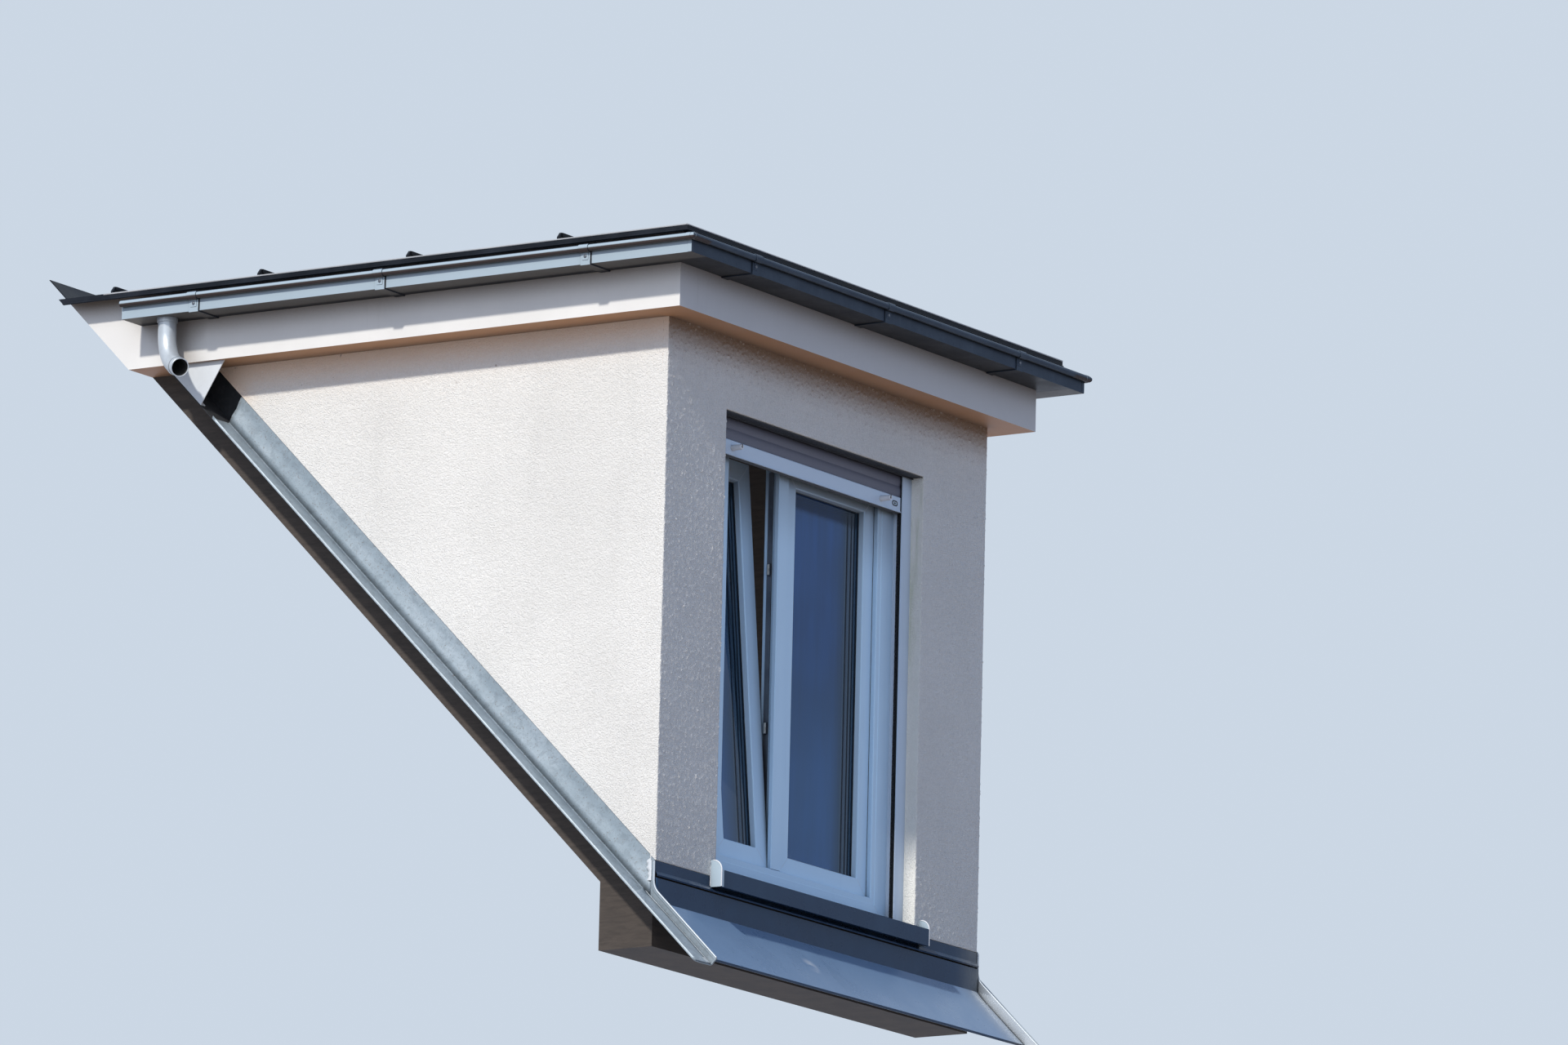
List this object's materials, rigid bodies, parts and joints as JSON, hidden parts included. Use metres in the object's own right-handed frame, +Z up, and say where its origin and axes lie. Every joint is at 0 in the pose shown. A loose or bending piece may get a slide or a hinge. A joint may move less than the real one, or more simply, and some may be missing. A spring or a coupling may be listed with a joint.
{
  "type": "roof dormer window",
  "caption": "Flat-roofed roof dormer: rendered walls, tilted casement window under a raised roller shutter, box gutters, fascia and sheet flashings for a 45 degree roof",
  "frame": {"origin": "middle of the level foot of the front wall", "axes": "X along the front, Y back into the roof, Z up"},
  "size_m": [2.4336, 2.6035, 2.4361],
  "materials": {
    "wall_core": "matt board",
    "render": "rough mineral render",
    "ceiling_board": "matt white paint",
    "timber": "sawn",
    "roof_metal": "dark coated sheet",
    "cream_board": "smooth cream paint",
    "gutter_zinc": "slate grey weathered zinc",
    "bright_zinc": "mottled bright zinc",
    "white_frame": "smooth white",
    "pane": "clear double glazing",
    "hardware": "zinc plated",
    "white_trim": "white",
    "shutter_gray": "grey coated slats",
    "shutter_white": "white coated aluminium",
    "underlay": "black sealing strip",
    "blue_sheet": "slate blue coated sheet"
  },
  "bodies": {
    "root": {"front_wall": "wall_core", "left_cheek": "wall_core", "right_cheek": "wall_core", "front_render": "render", "left_render": "render", "right_render": "render", "ceiling": "ceiling_board", "roof_joists": "timber", "roof_boarding": "timber", "roof_sheet": "roof_metal", "drip_edge": "roof_metal", "fascia_front": "cream_board", "fascia_left": "cream_board", "fascia_right": "cream_board", "soffit": "cream_board", "gutter_front": "gutter_zinc", "gutter_left": "gutter_zinc", "gutter_right": "gutter_zinc", "gutter_brackets": "gutter_zinc", "outlet_left": "bright_zinc", "outlet_right": "bright_zinc", "window_frame": "white_frame", "left_sash": "white_frame", "right_sash": "white_frame", "left_glass": "pane", "right_glass": "pane", "astragal": "white_frame", "sash_lock_strip": "hardware", "window_handles": "white_trim", "shutter_slats": "shutter_gray", "shutter_end_slat": "shutter_white", "shutter_stops": "white_trim", "guide_rail_left": "shutter_white", "guide_rail_right": "shutter_white", "shutter_box": "white_trim", "sill": "blue_sheet", "sill_cap_left": "white_trim", "sill_cap_right": "white_trim", "base_strip": "blue_sheet", "front_apron": "blue_sheet", "side_flashing_left": "bright_zinc", "side_flashing_right": "bright_zinc", "corner_ear_left": "bright_zinc", "corner_ear_right": "bright_zinc", "underlay_strips": "underlay", "end_gussets": "bright_zinc", "rear_flashing": "roof_metal"}
  },
  "joints": []
}
